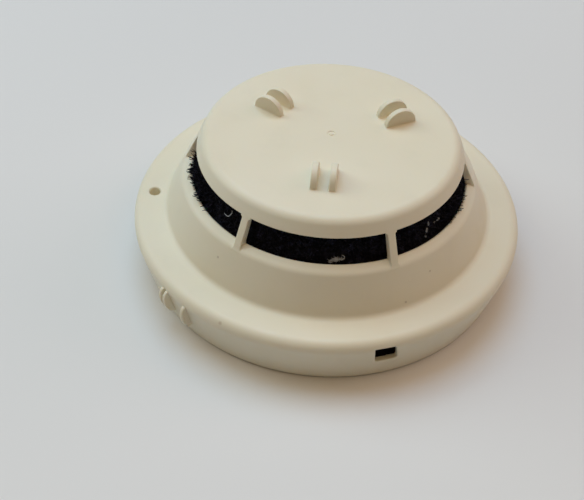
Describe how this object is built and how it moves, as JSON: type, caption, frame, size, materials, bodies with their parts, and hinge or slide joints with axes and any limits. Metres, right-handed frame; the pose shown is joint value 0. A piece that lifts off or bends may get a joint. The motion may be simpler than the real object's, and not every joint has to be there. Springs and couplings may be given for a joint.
{
  "type": "smoke detector",
  "caption": "Round ceiling smoke detector with a ribbed smoke slot over black foam, finned cap and skirt, on a twist-lock mounting base.",
  "frame": {"origin": "centre of the back plane that lies against the ceiling, or on the table as stored", "axes": "+Z out of the ceiling, towards the cap; the release slot is in the side wall on the -Y side"},
  "size_m": [0.1248, 0.1248, 0.0506],
  "materials": {
    "ivory_plastic": "satin moulded, slightly yellowed",
    "black_foam": "open-cell foam",
    "black_plastic": "matte moulded",
    "base_plastic": "matte moulded",
    "circuit_board": "solder mask",
    "component_black": "moulded epoxy",
    "component_blue": "shrink sleeve",
    "clear_plastic": "clear",
    "contact_metal": "tin plated",
    "spring_steel": "zinc plated"
  },
  "bodies": {
    "mounting_base": {"base_plate": "base_plastic", "spring_contact_1": "contact_metal", "spring_contact_2": "contact_metal", "spring_contact_3": "contact_metal", "spring_contact_4": "contact_metal", "terminal_screw_1": "contact_metal", "terminal_screw_2": "contact_metal", "terminal_screw_3": "contact_metal", "terminal_screw_4": "contact_metal", "clamp_plate_1": "spring_steel", "clamp_plate_2": "spring_steel", "clamp_plate_3": "spring_steel", "clamp_plate_4": "spring_steel", "lever_pin": "spring_steel", "lever_spring": "spring_steel"},
    "head": {"outer_cover": "ivory_plastic", "foam_screen": "black_foam", "chamber_lid": "black_plastic", "chamber_base": "black_plastic", "infrared_emitter": "clear_plastic", "photodiode": "component_black", "photodiode_shield": "contact_metal", "circuit_board": "circuit_board", "controller_chip": "component_black", "bridge_rectifier": "component_black", "storage_capacitor": "component_blue", "surge_suppressor": "component_black", "reed_switch": "clear_plastic", "alarm_thyristor": "component_black", "chassis": "black_plastic", "contact_blade_1": "contact_metal", "contact_blade_2": "contact_metal", "contact_blade_3": "contact_metal", "contact_blade_4": "contact_metal", "chassis_screw_1": "spring_steel", "chassis_screw_2": "spring_steel", "chassis_screw_3": "spring_steel"},
    "lever": {"lock_lever": "black_plastic"}
  },
  "joints": [
    {"name": "head_twist", "type": "hinge", "parent": "mounting_base", "child": "head", "pos_m": [0, 0, 0], "axis": [0, 0, 1], "range_deg": [0, 20]},
    {"name": "lever_press", "type": "hinge", "parent": "mounting_base", "child": "lever", "pos_m": [0.01793, -0.05326, 0.0042], "axis": [-0.9478, -0.319, 0], "range_deg": [0, 10], "stiffness_Nm_per_rad": 0.1, "springref_deg": -2.86, "deforming": ["lever_spring"]}
  ]
}
